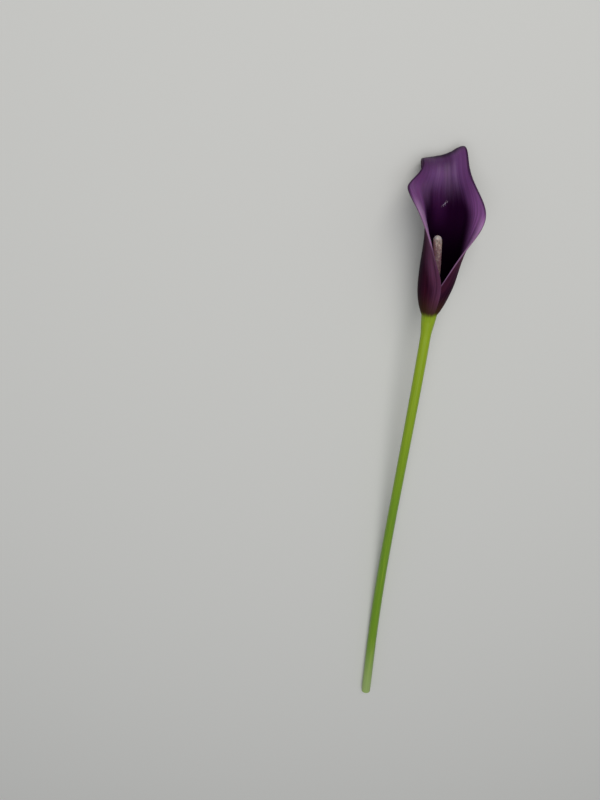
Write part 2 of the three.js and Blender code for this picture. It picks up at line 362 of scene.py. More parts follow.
def piece(name, loops, facts, material, node, slot):
    """A mesh from loops of points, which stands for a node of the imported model. facts holds what
    its material reads at each point: numbers, or vectors."""
    rows, sides = loops.shape[:2]
    low, high = np.array(CAD_LOW) / MM, np.array(CAD_HIGH) / MM
    points = keep_inside(loops + SHIFT, low, high) * MM
    faces, flat_map = loop_faces(rows, sides)
    mesh = bpy.data.meshes.new(name)
    mesh.from_pydata(points.reshape(-1, 3).tolist(), [], faces.tolist())
    mesh.shade_smooth()
    mesh.uv_layers.new(name="OFBake").uv.foreach_set("vector", flat_map.ravel().astype(np.float32))
    for fact, values in facts.items():
        is_vector = values.ndim == 3
        kind, field = ("FLOAT_VECTOR", "vector") if is_vector else ("FLOAT", "value")
        attribute = mesh.attributes.new(fact, kind, "POINT")
        attribute.data.foreach_set(field, values.ravel().astype(np.float32))
    mesh.materials.append(material)
    made = bpy.data.objects.new(name, mesh)
    bpy.context.scene.collection.objects.link(made)
    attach(made, "root")
    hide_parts(node)
    return made


# ---- node materials ----

def paint(name):
    """A named colour, as light."""
    code = COLOURS[name]
    parts = [int(code[k:k + 2], 16) / 255 for k in (0, 2, 4)]
    light = [x / 12.92 if x <= 0.04045 else ((x + 0.055) / 1.055) ** 2.4 for x in parts]
    return (*light, 1)


class Recipe:
    """A material in the making. Most methods add one node and return its output."""

    def __init__(self, name, **even):
        """even gives sockets of the shader that are the same all over."""
        self.material = bpy.data.materials.new(name)
        self.material.use_nodes = True
        self.tree = self.material.node_tree
        self.shader = self.tree.nodes["Principled BSDF"]
        for socket, value in even.items():
            self.shader.inputs[socket.replace("_", " ")].default_value = value

    def add(self, kind, inputs, output=0, **settings):
        node = self.tree.nodes.new(kind)
        for setting, value in settings.items():
            setattr(node, setting, value)
        for key, value in inputs.items():
            if isinstance(value, bpy.types.NodeSocket):
                self.tree.links.new(value, node.inputs[key])
            else:
                node.inputs[key].default_value = value
        return node.outputs[output]

    def fact(self, name):
        return self.add("ShaderNodeAttribute", {}, "Fac", attribute_name=name)

    def skin(self, *stretch):
        """The place on the skin that the mesh holds, with each of its parts multiplied."""
        spot = self.add("ShaderNodeAttribute", {}, "Vector", attribute_name="skin")
        return self.add("ShaderNodeVectorMath", {0: spot, 1: stretch}, operation="MULTIPLY")

    def calc(self, operation, *values):
        return self.add("ShaderNodeMath", dict(enumerate(values)), operation=operation)

    def rise(self, value, start, end, low=0.0, high=1.0):
        """low at start, high at end, smooth between. start may be the larger."""
        if start > end:
            start, end, low, high = end, start, high, low
        inputs = {"Value": value, "From Min": start, "From Max": end, "To Min": low, "To Max": high}
        return self.add("ShaderNodeMapRange", inputs, interpolation_type="SMOOTHSTEP")

    def near(self, value, middle, reach):
        """1 at middle, 0 from reach away on either side."""
        return self.rise(self.calc("ABSOLUTE", self.plus(value, -middle)), reach, 0.0)

    def noise(self, spot, scale=1.0, detail=2.0, roughness=0.5):
        inputs = {"Vector": spot, "Scale": scale, "Detail": detail, "Roughness": roughness}
        return self.add("ShaderNodeTexNoise", inputs, "Fac")

    def spots(self, spot, scale):
        """How far each place is from the nearest of many scattered points, in cells."""
        return self.add("ShaderNodeTexVoronoi", {"Vector": spot, "Scale": scale}, "Distance")

    def blend(self, share, first, second):
        inputs = {0: share, 6: first, 7: second}
        return self.add("ShaderNodeMix", inputs, 2, data_type="RGBA")

    def times(self, *values):
        total = values[0]
        for value in values[1:]:
            total = self.calc("MULTIPLY", total, value)
        return total

    def plus(self, *values):
        total = values[0]
        for value in values[1:]:
            total = self.calc("ADD", total, value)
        return total

    def rest(self, value):
        """What is missing to 1."""
        return self.calc("SUBTRACT", 1.0, value)

    def bump(self, height, distance):
        """Raises the surface by height times distance, in millimetres."""
        return self.add("ShaderNodeBump", {"Height": height, "Distance": distance * MM})

    def finish(self, colour, roughness, normal):
        for socket, value in (("Base Color", colour), ("Roughness", roughness), ("Normal", normal)):
            self.tree.links.new(value, self.shader.inputs[socket])
        return self.material


# ---- the spathe ----

def section_at(place):
    """The sections' numbers at each place between them, by a uniform cubic B-spline."""
    left = np.minimum(np.floor(place).astype(int), LAST_SECTION - 1)
    t = (place - left)[:, None]
    before = 2 * SECTIONS[0] - SECTIONS[1]
    after = 2 * SECTIONS[-1] - SECTIONS[-2]
    listed = np.vstack([before, SECTIONS, after])
    weights = [(1 - t) ** 3 / 6, (3 * t ** 3 - 6 * t ** 2 + 4) / 6,
               (-3 * t ** 3 + 3 * t ** 2 + 3 * t + 1) / 6, t ** 3 / 6]
    return sum(weight * listed[left + k] for k, weight in enumerate(weights))


def half_curve(width, wrap, roll, reach):
    """Walks round one half of each section, from the midrib for a share of its width, and gives
    how far out and how far up each step has come."""
    count = STEPS_ACROSS * WALK_STEPS
    t = (np.arange(count) + 0.5) / count * reach[:, None]
    heading = np.radians(wrap)[:, None] * t - np.radians(roll)[:, None] * t ** ROLL_SHARPNESS
    stride = (width * reach / count)[:, None]
    start = np.zeros((len(width), 1))
    walked = [np.cumsum(turn(heading) * stride, axis=1) for turn in (np.cos, np.sin)]
    return [np.hstack([start, way])[:, ::WALK_STEPS] for way in walked]


def thickness_at(place, share):
    """The blade's thickness, which is less at the foot, at the margins and towards the tip."""
    blade = mix(FOOT_THICKNESS, BLADE_THICKNESS, ease(place, 0, FIRST_BLADE_SECTION))
    to_tip = np.clip((place - FIRST_TIP_SECTION) / (LAST_SECTION - FIRST_TIP_SECTION), 0, 1)
    middle = mix(blade, TIP_THICKNESS, to_tip)
    margin = np.minimum(MARGIN_THICKNESS, middle)
    return mix(middle, margin, ease(np.abs(share), MARGIN_SHARE, 1))


def middle_surface(place):
    """The middle surface's points, their shares of the way from midrib to margin (left is
    negative) and each half's width. The rows stop short of the margin by the rim's radius."""
    x, y, z, lean, skew, width_l, wrap_l, roll_l, width_r, wrap_r, roll_r = section_at(place).T
    rim = thickness_at(place, 1) / 2
    lean, skew = np.radians(lean), np.radians(skew)
    zero = np.zeros_like(x)
    across = np.stack([np.cos(skew), np.sin(skew), zero], axis=1)
    forward = np.stack([-across[:, 1], across[:, 0], zero], axis=1)
    upward = forward * np.sin(lean)[:, None]
    upward[:, 2] = np.cos(lean)
    midrib = np.stack([x, y, z], axis=1)[:, None]
    halves, shares = [], []
    for side, width, wrap, roll in ((-1, width_l, wrap_l, roll_l), (1, width_r, wrap_r, roll_r)):
        reach = 1 - rim / width
        out, up = half_curve(width, wrap, roll, reach)
        halves.append(midrib + side * out[..., None] * across[:, None] + up[..., None] * upward[:, None])
        shares.append(side * np.linspace(0, 1, STEPS_ACROSS + 1) * reach[:, None])
    points = np.concatenate([halves[0][:, ::-1], halves[1][:, 1:]], axis=1)
    share = np.concatenate([shares[0][:, ::-1], shares[1][:, 1:]], axis=1)
    return points, share, np.stack([width_l, width_r], axis=1)


def stem_axis(distance):
    """x, y, z of the stem's axis and its radius, at distances down from the shoulder."""
    share = distance / STEM_LENGTH
    x = STEM_TOP[0] + STEM_DRIFT * share + STEM_BOW * np.sin(np.pi * share)
    z = mix(STEM_TOP[1], CUT_END_HEIGHT, ease(distance, 0, STEM_LENGTH - LYING_LENGTH))
    slim = mix(SHOULDER_RADIUS, NECK_RADIUS, ease(share, 0, NECK_SHARE))
    return x, SHOULDER_Y - distance, z, mix(slim, CUT_RADIUS, ease(share, THICKENING_SHARE, 1))


def skirt(first_row):
    """Rows that go on below the spathe's first row. They draw in to the stem, and end just
    under its skin."""
    down = np.linspace(1, 0, SKIRT_ROWS, endpoint=False)
    y = first_row[0, 1] - SKIRT_LENGTH * down
    x, _, z, radius = stem_axis(np.maximum(SHOULDER_Y - y, 0))
    arms = first_row[:, [0, 2]] - np.array(STEM_TOP)
    reach = np.linalg.norm(arms, axis=1)
    lap = SKIRT_LAP_SHARE * (1 - down)[:, None] * (reach - reach.max())
    clinging = radius[:, None] - SKIRT_SINK + lap
    # it draws in without a kink at its top, and clings already a little above its end
    new_reach = mix(reach, clinging, ease(down, -0.1, 0.85)[:, None])
    arms = (arms / reach[:, None]) * new_reach[..., None]
    rows = np.empty((SKIRT_ROWS, len(first_row), 3))
    rows[..., 0] = x[:, None] + arms[..., 0]
    rows[..., 1] = y[:, None]
    rows[..., 2] = z[:, None] + arms[..., 1]
    return rows


def blade_rows():
    """The middle surface with the skirt's rows before it, and for each row or point: its place,
    counted in sections, its share of the way to the margin, its distance along the midrib, its
    half's width, its distance from the margin, and where it lies between the fanned-out veins."""
    place = np.linspace(0, LAST_SECTION, LAST_SECTION * ROWS_PER_SECTION + 1)
    points, share, widths = middle_surface(place)
    points = np.concatenate([skirt(points[0]), points])
    place = np.concatenate([np.linspace(-1, 0, SKIRT_ROWS, endpoint=False), place])
    share = np.concatenate([np.repeat(share[:1], SKIRT_ROWS, axis=0), share])
    widths = np.concatenate([np.repeat(widths[:1], SKIRT_ROWS, axis=0), widths])

    midrib = points[:, STEPS_ACROSS]
    along = np.concatenate([[0], np.cumsum(np.linalg.norm(np.diff(midrib, axis=0), axis=1))])
    along -= along[SKIRT_ROWS]
    half_width = np.where(share < 0, widths[:, :1], widths[:, 1:])
    edge = (1 - np.abs(share)) * half_width
    fan = share * (1 - FAN * ease(place, 1.5, 12))[:, None]
    return SimpleNamespace(points=points, place=place, share=share, along=along,
                           half_width=half_width, edge=edge, fan=fan)


def ripples(blade):
    """How far the margin's wave and the limb's pleats push each point of the blade inwards. Both
    are of two lengths that don't fall in step, so they look uneven."""
    mouth = ease(blade.place, 5, 7) * ease(blade.place, 14, 12.5)
    wave = np.sin(blade.along / 2.7 + 0.8) + 0.6 * np.sin(blade.along / 1.55 + 2.1)
    sway = (mouth * wave)[:, None] * np.abs(blade.share) ** 4
    row, across = blade.along[:, None], blade.fan * WIDEST_HALF
    pleats = np.sin(across / 0.8 + 0.7 * np.sin(row / 9)) + np.sin(across / 1.27 + row / 23 + 1.3)
    limb = (ease(blade.place, 3, 5.5) * ease(blade.place, 13, 11))[:, None] * ease(blade.edge, 0, 3)
    return MARGIN_WAVE * sway + PLEAT_DEPTH * limb * pleats


def vein_height(fan):
    """1 on the strongest veins, less on others, 0 between two."""
    rng = np.random.default_rng(seed=11)
    height = np.zeros_like(fan)
    for side in (-1, 1):
        spots = (np.arange(VEINS) + 0.5 + rng.uniform(-VEIN_SCATTER, VEIN_SCATTER, VEINS)) / VEINS
        strengths = rng.uniform(WEAKEST_VEIN, 1, VEINS)
        for spot, strength in zip(side * spots, strengths):
            apart = (fan - spot) * WIDEST_HALF / VEIN_WIDTH
            height = np.maximum(height, strength * np.exp(-apart ** 2))
    return height


def rim_arc(points, face, outward, half):
    """Points round the rounded edge of each row, from the inner face to the outer one."""
    turn = (np.pi * (np.arange(RIM_STEPS) + 1) / (RIM_STEPS + 1))[:, None]
    arc = np.cos(turn) * face[:, None] + np.sin(turn) * outward[:, None]
    return points[:, None] + arc * half[:, None, None]


def round_loop(inner, outer, left_rim, right_rim):
    """The columns of both faces and both rims, in their order round a loop. It starts half way
    round the left rim."""
    split = RIM_STEPS // 2
    first, last = left_rim[:, :split][:, ::-1], left_rim[:, split:][:, ::-1]
    return np.concatenate([first, inner, right_rim, outer[:, ::-1], last], axis=1)


def fact_round(inner, outer):
    """A number for each point of a loop, from those on both faces, blended over the rims."""
    rim = np.linspace(0, 1, RIM_STEPS + 2)[1:-1]
    left_rim = mix(inner[:, :1], outer[:, :1], rim)
    right_rim = mix(inner[:, -1:], outer[:, -1:], rim)
    return round_loop(inner, outer, left_rim, right_rim)


def tail_share(along):
    """How much of its width and thickness each row keeps: the tail's end is drawn in to a thread
    with a rounded point."""
    to_end = along[-1] - along
    rounding = 1 - np.minimum(to_end / TIP_ROUNDING, 1)
    point = np.sqrt(np.clip(1 - rounding ** 2, TIP_BLUNTNESS, 1))
    return point * mix(THREAD_SHARE, 1, ease(to_end, 0, THREAD_LENGTH))


def spathe_loops():
    """Closed loops round the blade, from the skirt to the tip, and what its material reads."""
    blade = blade_rows()
    along_rows = np.gradient(blade.points, blade.along, axis=0)
    face = unit(np.cross(np.gradient(blade.points, axis=1), along_rows))
    points = blade.points + face * ripples(blade)[..., None]

    clinging = ease(blade.place, 0, -1)[:, None]
    half = thickness_at(np.maximum(blade.place, 0)[:, None], blade.share) / 2
    half = mix(half, SKIRT_THICKNESS / 2, clinging)
    # the veins fade out at the margins, down the narrow tail and on the skirt
    veined = ease(blade.edge, 0.2, 2.5) * ease(blade.half_width, 1.5, 9) * (1 - clinging)
    veins = vein_height(blade.fan) * veined
    between = (1 - veins) * veined
    inner = points + face * (half - INNER_VEIN_RELIEF * between)[..., None]
    outer = points - face * (half - VEIN_RELIEF * between)[..., None]
    outward = unit(np.stack([points[:, 0] - points[:, 1], points[:, -1] - points[:, -2]], axis=1))
    rims = [rim_arc(points[:, end], face[:, end], outward[:, end], half[:, end]) for end in (0, -1)]
    loops = round_loop(inner, outer, *rims)

    same = np.ones_like(blade.share)
    rim_radius = half[:, [0, -1]].max(axis=1)[:, None]
    both = {"place": blade.place[:, None] * same, "share": blade.share,
            "edge": blade.edge - rim_radius, "vein": veins}
    facts = {name: fact_round(values, values) for name, values in both.items()}
    facts["inner"] = fact_round(same, 0 * same)
    skin = [blade.fan * WIDEST_HALF, blade.along[:, None] * same]
    skin = [fact_round(values, values) for values in skin]
    facts["skin"] = np.stack([*skin, facts["inner"] * FACES_APART], axis=2)

    axis = points[:, STEPS_ACROSS][:, None]
    loops = axis + (loops - axis) * tail_share(blade.along)[:, None, None]
    # the curled tip is pressed flat where it lies on the surface
    loops[..., 2] = np.maximum(loops[..., 2], 0)
    return loops, facts


# The spathe's material goes by facts that its mesh holds. place counts sections: it is below 0 on
# the skirt, about 6.5 where the mouth is widest, 11.5 on the fold and 18 at the tail's end. share
# goes from -1 at the left margin over 0 at the midrib to 1 at the right one. edge is the distance
# from the margin in millimetres. inner is 1 on the inner face and 0 on the outer one, and vein is
# 1 on the strongest veins.

def spathe_patterns(r):
    """The facts, and the patterns over the skin, most of them drawn out along the veins."""
    names = ("place", "share", "edge", "inner", "vein")
    at = SimpleNamespace(**{name: r.fact(name) for name in names})
    at.streaks = r.noise(r.skin(0.9, 0.03, 1), detail=4.0, roughness=0.62)
    at.fine_streaks = r.noise(r.skin(3.2, 0.05, 1), detail=3.0)
    at.clouds = r.noise(r.skin(0.09, 0.05, 1), detail=3.0, roughness=0.6)
    at.grain = r.noise(r.skin(6, 6, 1), detail=2.0)
    # the painted light along the margin, which narrows towards the foot and the tip
    widest = r.rise(at.share, -0.2, 0.2, 12.5, r.rise(at.place, 6.6, 8.0, 9.0, 11.0))
    narrowing = r.times(r.rise(at.place, 1.4, 3.6, 0.06, 1.0), r.rise(at.place, 6.5, 9.0, 1.0, 0.6))
    at.near_edge = r.rise(r.calc("SUBTRACT", at.edge, r.times(narrowing, widest)), 3.0, -4.5)
    # the lower part of the left half, which laps over the other one
    at.tucked = r.times(r.rise(at.share, 0.3, -0.3), r.rise(at.place, 4.95, 4.5))
    # the throat, dark purple deepened with painted shade of the deep cup, with an uneven upper end
    ragged = r.plus(at.place, r.times(at.streaks, 1.6), r.times(at.share, -0.7))
    at.throat = r.times(r.rise(ragged, 11.2, 7.6), r.rest(r.times(at.near_edge, 0.95)))
    # painted shade beyond it: on the fold of the tip, and in a thin line along the margins up there
    at.fold = r.rise(at.place, 11.0, 11.7, 0.0, 0.8)
    at.mouth_line = r.times(r.rise(at.edge, 1.1, 0.3, 0.0, 0.7), r.rise(at.place, 6.2, 7.5))
    return at


def limb_colour(r, at):
    """The flared part of the inner face: purple, with a painted sheen in its middle, painted light
    along the margin that is stronger on the lobes, and painted shade where the margin is tucked in."""
    limb = r.blend(r.rise(at.streaks, 0.3, 0.72), paint("limb"), paint("limb's streaks"))
    limb = r.blend(r.rise(at.clouds, 0.42, 0.66, 0.0, 0.5), limb, paint("limb's clouds"))
    # a painted sheen in the limb's middle, weaker on the midrib itself
    painted_sheen = r.times(r.rise(at.place, 7.4, 9.0), r.rise(at.share, -0.9, -0.4), r.rise(at.share, 1.0, 0.4))
    painted_sheen = r.times(painted_sheen, r.calc("SUBTRACT", 0.75, r.times(r.near(at.share, 0.08, 0.3), 0.4)))
    limb = r.blend(painted_sheen, limb, paint("painted_sheen"))
    # painted light along the margin, brighter on the lobes
    lobes = r.times(r.rise(at.place, 8.8, 6.0), r.rise(at.share, -0.4, 0.4, 0.7, 1.0))
    painted_margin_shading = r.blend(lobes, paint("painted_margin_shading"), paint("band on the lobes"))
    # painted shade where the left margin curls under
    painted_margin_shading = r.blend(at.tucked, painted_margin_shading, paint("painted shade where the margin tucks in"))
    upper_strength = r.rise(at.share, -0.4, 0.4, 0.15, 0.52)
    limb = r.blend(r.times(at.near_edge, r.rise(at.place, 7.4, 9.5, 0.9, upper_strength)), limb, painted_margin_shading)
    limb = r.blend(r.rise(at.fine_streaks, 0.55, 0.35, 0.0, 0.2), limb, paint("inner veins"))
    return r.blend(r.times(at.vein, r.rise(at.place, 7.0, 10.0, 0.35, 0.2)), limb, paint("inner veins"))


def throat_colour(r, at):
    """Nearly black: dark purple, deepened low down with painted shade of the deep cup, and with a
    faint painted glow in the middle of its mouth.
    """
    throat = r.blend(r.rise(at.place, 7.0, 4.0), paint("throat's mouth"), paint("throat"))
    glow = r.times(r.near(at.share, -0.16, 0.26), r.rise(at.place, 5.0, 7.5), 0.65)
    return r.blend(glow, throat, paint("throat's glow"))


def with_margin_light(r, at, inside):
    """Adds painted light: a greyer painted sheen left of the throat's mouth, a painted highlight on
    the strip that the left flap turns to the camera beside the throat, and a pale painted
    highlight along both flaps."""
    # a greyer painted sheen left of the throat's mouth
    haze = r.times(r.rise(at.share, -0.3, -0.48), r.rise(at.share, -0.78, -0.62))
    haze = r.times(haze, r.rise(at.place, 6.2, 7.8), r.rise(at.place, 9.2, 8.2), 0.4)
    inside = r.blend(haze, inside, paint("painted sheen beside the throat"))
    # a painted highlight on the strip that the left flap turns up
    strip = r.times(r.rise(at.share, -0.3, -0.6), r.rise(at.place, 3.5, 5.0), r.rise(at.place, 7.3, 6.0))
    strip = r.times(strip, r.rise(at.edge, 11.0, 2.5, 0.0, 0.62))
    inside = r.blend(strip, inside, paint("strip"))
    # a pale painted highlight along both flaps, left out where the left one is tucked in
    painted_flap_highlight = r.times(r.rise(at.edge, 4.0, 0.6), r.rise(at.place, 2.0, 3.0), r.rise(at.place, 7.0, 6.0))
    painted_flap_highlight = r.times(painted_flap_highlight, r.rise(at.share, -0.3, 0.3, 0.25, 0.45), r.rest(at.tucked))
    return r.blend(painted_flap_highlight, inside, paint("painted_flap_highlight"))


def with_pollen(r, at, inside):
    """Adds a few grains of pollen in a short slanting trail, thickest at its upper end."""
    beyond = r.plus(at.place, -POLLEN_PLACE)
    aside = r.calc("ABSOLUTE", r.plus(at.share, r.times(beyond, -0.2)))
    trail = r.times(r.rise(aside, 0.04, 0.015), r.rise(beyond, -0.5, -0.3), r.rise(beyond, 0.2, 0.05))
    clump = r.times(r.rise(aside, 0.025, 0.0), r.near(beyond, 0.0, 0.1))
    grains = r.plus(r.spots(r.skin(1, 1, 0.3), 2.3), r.times(clump, -0.3))
    pollen = r.times(trail, at.inner, r.rise(grains, 0.34, 0.22), 0.75)
    return r.blend(pollen, inside, paint("pollen"))


def inside_colour(r, at):
    inside = r.blend(at.throat, limb_colour(r, at), throat_colour(r, at))
    inside = with_margin_light(r, at, inside)
    inside = with_pollen(r, at, inside)
    # painted shade: it darkens towards the fold, most of all on the fold itself and along
    # the upper margin
    painted_fold_shade = r.times(r.rise(at.place, 9.4, 10.8, 0.0, 0.66), r.rise(at.share, 0.65, 0.15, 0.05, 1.0))
    inside = r.blend(painted_fold_shade, inside, paint("painted_fold_shade"))
    # painted shade on the fold and in a thin line along the mouth's upper margin
    inside = r.blend(at.fold, inside, paint("fold"))
    return r.blend(at.mouth_line, inside, paint("fold"))


def outside_colour(r, at):
    """Purple-maroon with darker veins, with painted shade on its left flank and painted light
    towards the margin of the flap that laps over, browner along the midrib and down to the foot,
    which is green."""
    outside = r.blend(r.rise(at.clouds, 0.36, 0.66), paint("outside"), paint("outside's clouds"))
    outside = r.blend(r.rise(at.streaks, 0.42, 0.74, 0.0, 0.5), outside, paint("outside's streaks"))
    # painted shade on the left flank
    shaded_left_side = r.times(r.rise(at.share, -0.72, -0.58), r.rise(at.share, -0.3, -0.45))
    shaded_left_side = r.times(shaded_left_side, r.rise(at.place, 0.3, 1.4), 0.6)
    outside = r.blend(shaded_left_side, outside, paint("painted shade on the left flank"))
    # painted light towards the margin of the flap that laps over
    lapping = r.times(r.rise(at.share, 0.2, -0.2, 0.15, 0.65), r.rise(at.place, 1.4, 2.8, 0.75, 1.0))
    from_edge = r.plus(at.edge, r.rise(at.place, 2.4, 4.2, 1.0, -2.5))
    lapping = r.times(lapping, r.rise(at.place, 3.2, 4.2, 1.0, 1.3), r.rise(from_edge, 7.5, 1.5))
    outside = r.blend(lapping, outside, paint("painted light by the flap that laps over"))
    outside = r.blend(r.rise(at.fine_streaks, 0.55, 0.35, 0.0, 0.4), outside, paint("outer veins"))
    outside = r.blend(r.times(at.vein, 0.5), outside, paint("outer veins"))
    midrib = r.rise(r.calc("ABSOLUTE", at.share), 0.2, 0.02)
    outside = r.blend(r.times(midrib, r.rise(at.place, 12.0, 3.0), 0.6), outside, paint("keel"))
    ragged = r.plus(at.place, r.times(r.plus(at.streaks, -0.5), -0.9))
    outside = r.blend(r.rise(ragged, 2.7, 0.3, 0.0, 0.75), outside, paint("brown foot"))
    green = r.blend(r.rise(at.streaks, 0.4, 0.7), paint("green foot"), paint("green foot's streaks"))
    outside = r.blend(r.rise(ragged, 0.8, -0.4), outside, green)
    return r.blend(r.rise(at.place, -0.2, -0.75), outside, paint("shoulder"))


def with_rim_and_tail(r, at, colour):
    """The rim between the faces carries a mauve painted highlight on the flaps and painted shade
    where the left flap is tucked in and round the mouth, and the tail is brownish."""
    # painted highlight and painted shade on the rim between the faces
    rim = r.times(r.rise(r.calc("ABSOLUTE", r.plus(at.inner, -0.5)), 0.5, 0.3), 0.7)
    flaps = r.blend(at.tucked, paint("painted highlight on the flaps' rim"), paint("painted shade on the rim where it tucks in"))
    painted_rim_shading = r.blend(r.rise(at.place, 5.0, 7.0), flaps, paint("painted shade on the mouth's rim"))
    colour = r.blend(r.times(rim, r.rise(at.place, 1.0, 2.5)), colour, painted_rim_shading)
    tail = r.rise(r.plus(at.place, r.times(at.streaks, 1.5)), 15.8, 18.2)
    return r.blend(tail, colour, paint("tail"))


def spathe_material():
    r = Recipe("spathe_skin", Sheen_Weight=0.02, Sheen_Roughness=0.5, Sheen_Tint=paint("sheen"),
               Subsurface_Weight=0.06, Subsurface_Scale=0.6 * MM)
    at = spathe_patterns(r)
    colour = r.blend(at.inner, outside_colour(r, at), inside_colour(r, at))
    colour = with_rim_and_tail(r, at, colour)

    # the limb shines softly, the outer face hardly, and the throat and the painted shade of the fold
    # and the mouth's margin not at all
    dull = r.calc("MAXIMUM", r.calc("MAXIMUM", at.throat, at.fold), at.mouth_line)
    gloss = r.times(r.rise(at.inner, 0.0, 1.0, 0.012, 0.26), r.rest(r.times(dull, at.inner)))
    gloss = r.calc("MAXIMUM", gloss, r.rise(at.place, 0.4, -0.7, 0.0, STEM_GLOSS))
    r.tree.links.new(gloss, r.shader.inputs["Specular IOR Level"])
    rough = r.rise(at.grain, 0.2, 0.8, 0.4, 0.5)
    height = r.plus(r.times(at.vein, 0.2), r.times(at.streaks, 0.4), r.times(at.grain, 0.14))
    height = r.times(height, r.rise(at.place, -0.75, -0.1))
    return r.finish(colour, rough, r.bump(height, 0.09))


# ---- the stem ----

def ring(x, y, z, radius, sides):
    """Loops of points round the places given, each in the plane across +Y."""
    angle = np.arange(sides) / sides * 2 * np.pi
    return np.stack([x[:, None] - radius * np.cos(angle), y[:, None] + 0 * radius * angle,
                     z[:, None] + radius * np.sin(angle)], axis=2)


def stem_skin(distance, y, radius, angle):
    """How far the skin is from the axis: ribbed, slightly uneven, and tucked in at the top."""
    ribs = 0.5 - 0.5 * np.cos(STEM_RIBS * angle + 0.5 * np.sin(distance / 40)[:, None])
    waves = (0.5 + 0.25 * np.sin(distance / 17 + 1)[:, None] * np.sin(angle + 0.4)
             + 0.25 * np.sin(distance / 9.3)[:, None] * np.sin(2 * angle + 2))
    uneven = ease(distance, EVEN_STRETCH, SHOULDER_STRETCH)[:, None]
    skin = radius[:, None] - uneven * (STEM_RIB_DEPTH * ribs + STEM_WAVE_DEPTH * waves)
    tuck = ease(y, STEM_TUCK_Y, SHOULDER_Y)[:, None]
    return mix(skin, SPIGOT_RADIUS + STEM_TUCK_CLEARANCE, tuck)


def stem_loops():
    """Loops from the middle of the cut face out to its skin, along the stem and up into the
    spathe's foot, and what its material reads."""
    lower_rings = round((STEM_LENGTH - SHOULDER_STRETCH) / STEM_RING_PITCH)
    upper_rings = round(SHOULDER_STRETCH / SHOULDER_RING_PITCH)
    distance = np.concatenate([
        np.linspace(STEM_LENGTH, SHOULDER_STRETCH, lower_rings, endpoint=False),
        np.linspace(SHOULDER_STRETCH, 0, upper_rings + 1)])
    angle = np.arange(STEM_SIDES) / STEM_SIDES * 2 * np.pi
    x, y, z, radius = stem_axis(distance)
    skin = stem_skin(distance, y, radius, angle)
    body = ring(x, y, z, skin, STEM_SIDES)
    body[0, :, 1] += CUT_BEVEL

    # the cut face, from a small ring in its middle out to the skin's rounded edge
    bevel = CUT_BEVEL / CUT_RADIUS
    reach = np.linspace(CUT_MIDDLE_SHARE, 1 - bevel, CUT_FACE_RINGS)
    reach = np.append(reach, 1 - BEVEL_RING_SHARE * bevel)
    level = np.ones(len(reach))
    cut = ring(level * x[0], level * y[0], level * z[0], reach[:, None] * skin[0], STEM_SIDES)
    cut[..., 1] += CUT_DISH * ease(reach, *CUT_DISH_SHARES)[:, None]
    loops = np.concatenate([cut, body])

    # the underside is flat where the stem lies on the surface, and the cut is slanted
    loops[..., 2] = np.maximum(loops[..., 2], 0)
    leaning = ease(distance, STEM_LENGTH - CUT_SHEAR_LENGTH, STEM_LENGTH)
    leaning = np.concatenate([level, leaning])[:, None]
    loops[..., 1] += leaning * CUT_SLANT * (loops[..., 2] - CUT_END_HEIGHT)

    spigot_y = np.array([SPIGOT_START_Y, SPIGOT_END_Y])
    spigot = ring(np.full(2, STEM_TOP[0]), spigot_y, np.full(2, STEM_TOP[1]),
                  np.full((2, 1), SPIGOT_RADIUS), STEM_SIDES)
    loops = np.concatenate([loops, spigot])

    same = np.ones((len(loops), STEM_SIDES))
    down = np.concatenate([STEM_LENGTH * level, distance, [0, 0]])[:, None] * same
    reach = np.concatenate([reach, np.ones(len(distance) + 2)])[:, None] * same
    is_cut = np.concatenate([level, np.zeros(len(distance) + 2)])[:, None] * same
    facts = {"down": down, "reach": reach, "cut": is_cut}
    facts["skin"] = np.stack(
        [reach * np.cos(angle) * CUT_RADIUS, reach * np.sin(angle) * CUT_RADIUS, down], axis=2)
    return loops, facts


def stem_colour(r, down, streaks, fine_streaks):
    """Yellow-green at the top, mid green below and paler at the cut, with fine lines along it."""
    clouds = r.noise(r.skin(0.15, 0.15, 0.02), detail=2.0)
    lower = r.rise(r.plus(down, r.times(clouds, 60.0)), 30.0, 190.0)
    colour = r.blend(lower, paint("stem's top"), paint("stem"))
    colour = r.blend(r.rise(streaks, 0.45, 0.8, 0.0, 0.45), colour, paint("stem's streaks"))
    colour = r.blend(r.rise(fine_streaks, 0.5, 0.2, 0.0, 0.35), colour, paint("stem's lines"))
    colour = r.blend(r.rise(down, 250.0, 318.0, 0.0, 0.55), colour, paint("stem's end"))
    return r.blend(r.rise(down, 12.0, 3.5), colour, paint("shoulder"))


